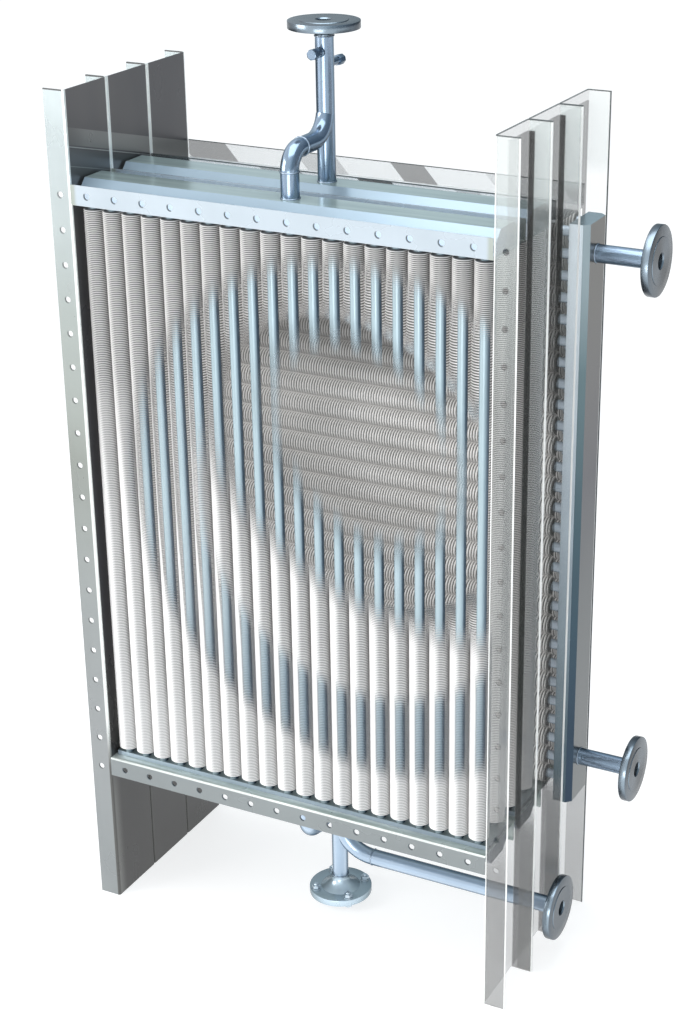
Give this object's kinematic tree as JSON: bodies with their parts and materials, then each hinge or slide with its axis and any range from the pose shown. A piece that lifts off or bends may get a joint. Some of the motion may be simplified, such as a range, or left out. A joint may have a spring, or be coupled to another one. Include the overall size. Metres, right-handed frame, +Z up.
{
  "type": "process air heat exchanger",
  "caption": "Duct-mounted air heater in bolted modules: upright and crosswise finned tube coils with box headers, pipe manifolds and flanged nozzles in a pressed sheet casing.",
  "frame": {"origin": "middle of the bounding box's bottom face, level with the feet of the side channels", "axes": "+Z up along the side channels, +Y along the air flow from the inlet face to the outlet face, +X toward the side nozzles"},
  "size_m": [1.8034, 0.6852, 3.076],
  "materials": {
    "casing": null,
    "header": "smooth satin, cool reflections",
    "tube": "bright round fins on a steel tube",
    "pipe": "polished, cool blue reflections",
    "flange": "turned, smooth"
  },
  "bodies": {
    "root": {"bottom_flange": "flange", "bottom_pipe_branch": "pipe", "bottom_pipe_main": "pipe", "bottom_plate_1": "casing", "bottom_plate_2": "casing", "bottom_plate_3": "casing", "bottom_side_flange": "flange", "bottom_side_pipe": "pipe", "finned_tube_01": "tube", "finned_tube_02": "tube", "finned_tube_03": "tube", "finned_tube_04": "tube", "finned_tube_05": "tube", "finned_tube_06": "tube", "finned_tube_07": "tube", "finned_tube_08": "tube", "finned_tube_09": "tube", "finned_tube_10": "tube", "finned_tube_11": "tube", "finned_tube_12": "tube", "finned_tube_13": "tube", "finned_tube_14": "tube", "finned_tube_15": "tube", "finned_tube_16": "tube", "finned_tube_17": "tube", "finned_tube_18": "tube", "finned_tube_19": "tube", "finned_tube_20": "tube", "header_bottom_1": "header", "header_bottom_2": "header", "header_side_left": "header", "header_side_right": "header", "header_top_1": "header", "header_top_2": "header", "nozzle_flange_lower": "flange", "nozzle_flange_upper": "flange", "nozzle_pipe_lower": "pipe", "nozzle_pipe_upper": "pipe", "side_channel_left_1": "casing", "side_channel_left_2": "casing", "side_channel_left_3": "casing", "side_channel_right_1": "casing", "side_channel_right_2": "casing", "side_channel_right_3": "casing", "top_flange": "flange", "top_pipe_branch": "pipe", "top_pipe_main": "pipe", "top_plate_1": "casing", "top_plate_2": "casing", "top_plate_3": "casing", "top_socket_front": "pipe", "top_socket_rear": "pipe", "tube_row_1_2": "tube", "tube_row_1_3": "tube", "tube_row_2_1": "tube", "tube_row_2_2": "tube", "tube_row_2_3": "tube", "tube_row_3_1": "tube", "tube_row_3_2": "tube", "tube_row_3_3": "tube"}
  },
  "joints": []
}
